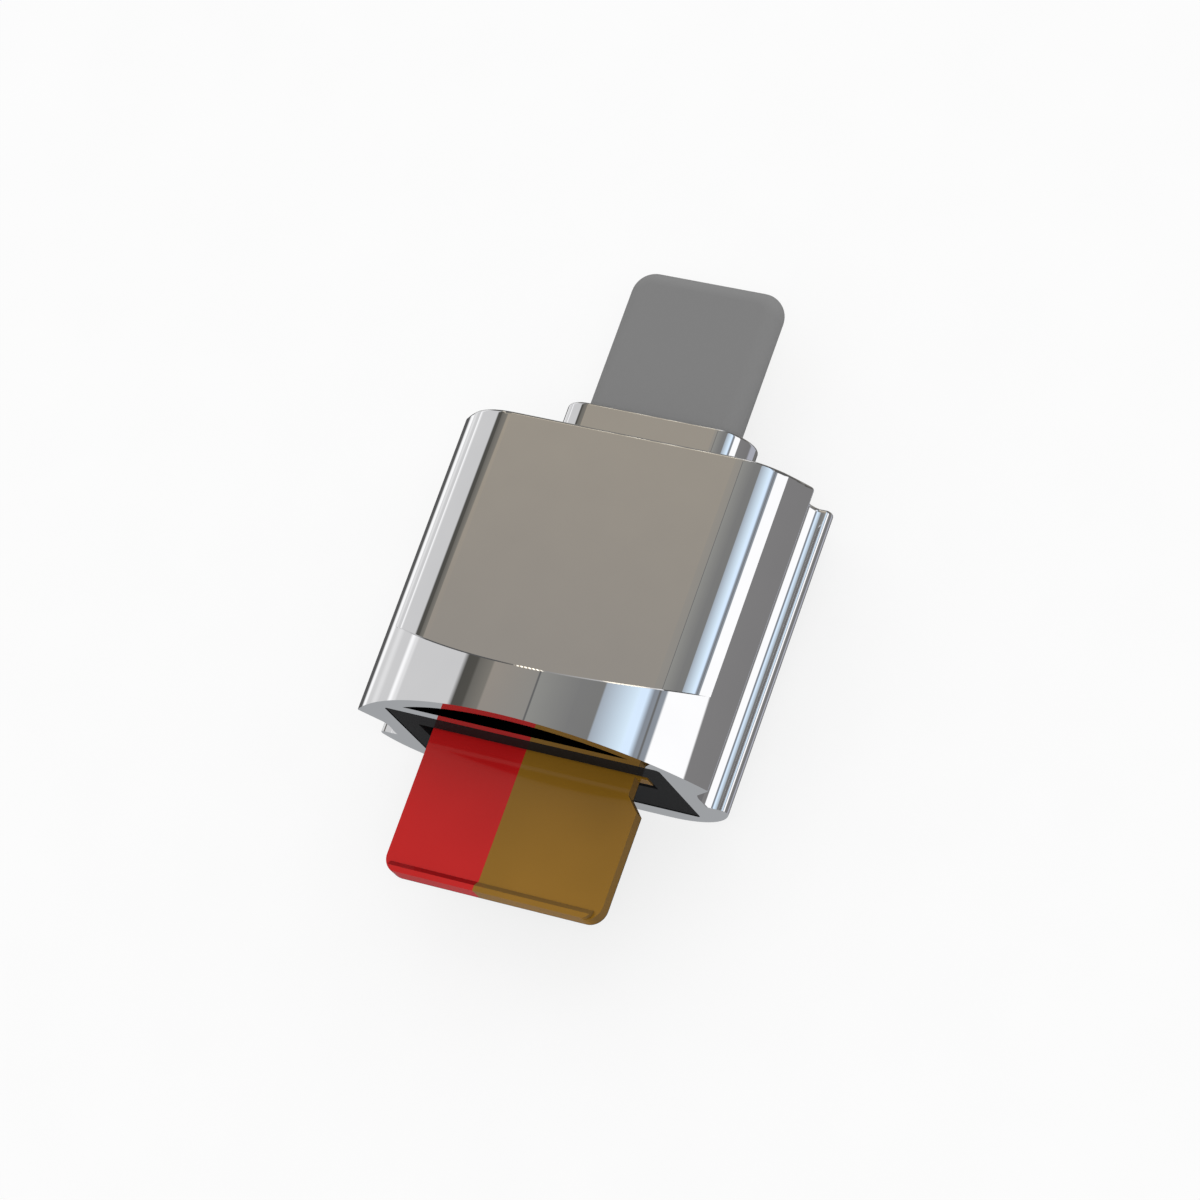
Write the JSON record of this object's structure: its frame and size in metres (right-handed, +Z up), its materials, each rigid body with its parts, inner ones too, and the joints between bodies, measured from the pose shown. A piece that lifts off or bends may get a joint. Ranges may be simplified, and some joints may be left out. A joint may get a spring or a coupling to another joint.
{
  "type": "memory card reader",
  "caption": "Pocket memory card reader in a plated metal housing with a flat plug, a strap loop and a small card half out of its mouth.",
  "frame": {"origin": "centre of the housing's flat back, on the surface that the reader lies on", "axes": "+Y from the card mouth towards the plug, +X across the flat front, +Z up out of the flat front"},
  "size_m": [0.0178, 0.0311, 0.0102],
  "materials": {
    "plated_shell": "mirror-polished plating over a zinc casting",
    "dark_plastic": "fine satin, moulded",
    "board": "green solder mask over glass epoxy",
    "card_plastic": "printed and lacquered moulding",
    "gold_plating": "thin gold plating",
    "socket_plastic": "natural liquid-crystal polymer",
    "sheet_steel": "tin-plated sheet",
    "plug_metal": "fine bead-blasted grey",
    "plug_plastic": "moulded black",
    "chip_plastic": "moulded epoxy",
    "crystal_lid": "ceramic with a metal lid",
    "ceramic": "fired ceramic with tinned ends"
  },
  "bodies": {
    "root": {"housing": "plated_shell", "board_tray": "dark_plastic", "circuit_board": "board", "memory_card": "card_plastic", "card_contacts": "gold_plating", "socket_base": "socket_plastic", "socket_cage": "sheet_steel", "plug_frame": "plug_metal", "plug_block": "plug_plastic", "controller_chip": "chip_plastic", "regulator": "chip_plastic", "crystal": "crystal_lid", "plug_contact_1": "gold_plating", "plug_contact_2": "gold_plating", "plug_contact_3": "gold_plating", "plug_contact_4": "gold_plating", "plug_contact_5": "gold_plating", "plug_contact_6": "gold_plating", "plug_contact_7": "gold_plating", "plug_contact_8": "gold_plating", "socket_spring_1": "gold_plating", "socket_spring_2": "gold_plating", "socket_spring_3": "gold_plating", "socket_spring_4": "gold_plating", "socket_spring_5": "gold_plating", "socket_spring_6": "gold_plating", "socket_spring_7": "gold_plating", "socket_spring_8": "gold_plating", "capacitor_1": "ceramic", "capacitor_2": "ceramic", "capacitor_3": "ceramic", "capacitor_4": "ceramic", "capacitor_5": "ceramic", "capacitor_6": "ceramic", "capacitor_7": "ceramic"}
  },
  "joints": []
}
